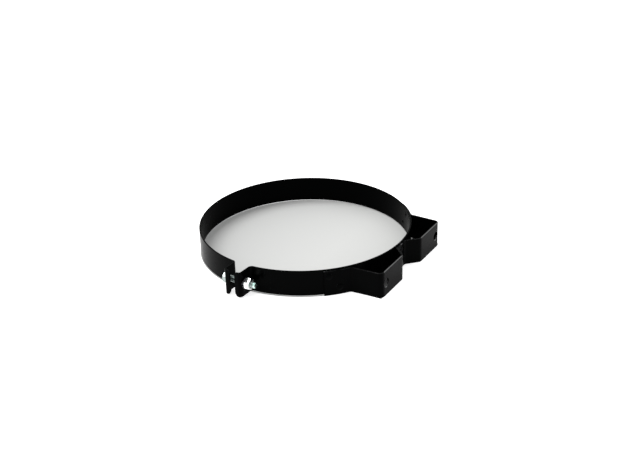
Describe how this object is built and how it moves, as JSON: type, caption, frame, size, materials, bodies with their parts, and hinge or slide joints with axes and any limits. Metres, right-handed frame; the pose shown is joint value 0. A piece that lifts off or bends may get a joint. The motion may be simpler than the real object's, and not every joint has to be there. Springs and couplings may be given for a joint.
{
  "type": "mounting band clamp",
  "caption": "Split steel band clamp for a large hose or canister: a bolt draws its two ears together, and a riveted strip with two feet bolts it to a flat wall.",
  "frame": {"origin": "on the bore's axis at the band's lower edge", "axes": "+Z along the bore's axis, +X square to the wall that the two feet stand against, pointing into the wall"},
  "size_m": [0.2186, 0.2225, 0.026],
  "materials": {
    "black_paint": "semi-gloss",
    "zinc_bolt": "bright zinc plated",
    "zinc_nut": "bright zinc plated",
    "dark_spring_steel": "dark oxide, oiled"
  },
  "bodies": {
    "clamp_body": {"band_fixed_side": "black_paint", "foot_strip": "black_paint", "rivet_front_flange_upper": "black_paint", "rivet_front_flange_lower": "black_paint", "rivet_valley_upper": "black_paint", "rivet_valley_lower": "black_paint", "rivet_back_flange_upper": "black_paint", "rivet_back_flange_lower": "black_paint", "lock_washer": "dark_spring_steel"},
    "free_half": {"band_free_side": "black_paint"},
    "bolt": {"hex_bolt": "zinc_bolt"},
    "nut": {"hex_nut": "zinc_nut"}
  },
  "joints": [
    {"name": "nut_turn", "type": "hinge", "parent": "clamp_body", "child": "nut", "pos_m": [-0.00565, -0.11146, 0.0125], "axis": [-0.9987, 0.0506, 0], "range_deg": [-1442, 1802]},
    {"name": "bolt_draw", "type": "slide", "parent": "clamp_body", "child": "bolt", "axis": [0.9987, -0.0506, 0], "range_m": [-0.00401, 0.00501]},
    {"name": "band_flex", "type": "hinge", "parent": "clamp_body", "child": "free_half", "pos_m": [0.00518, 0.10222, 0.0125], "axis": [0, 0, 1], "range_deg": [-1.07, 1.34]}
  ],
  "couplings": [
    {"joint": "bolt_draw", "follows": "band_flex", "m_per_rad": 0.21395},
    {"joint": "nut_turn", "follows": "band_flex", "ratio": 1344.3}
  ]
}
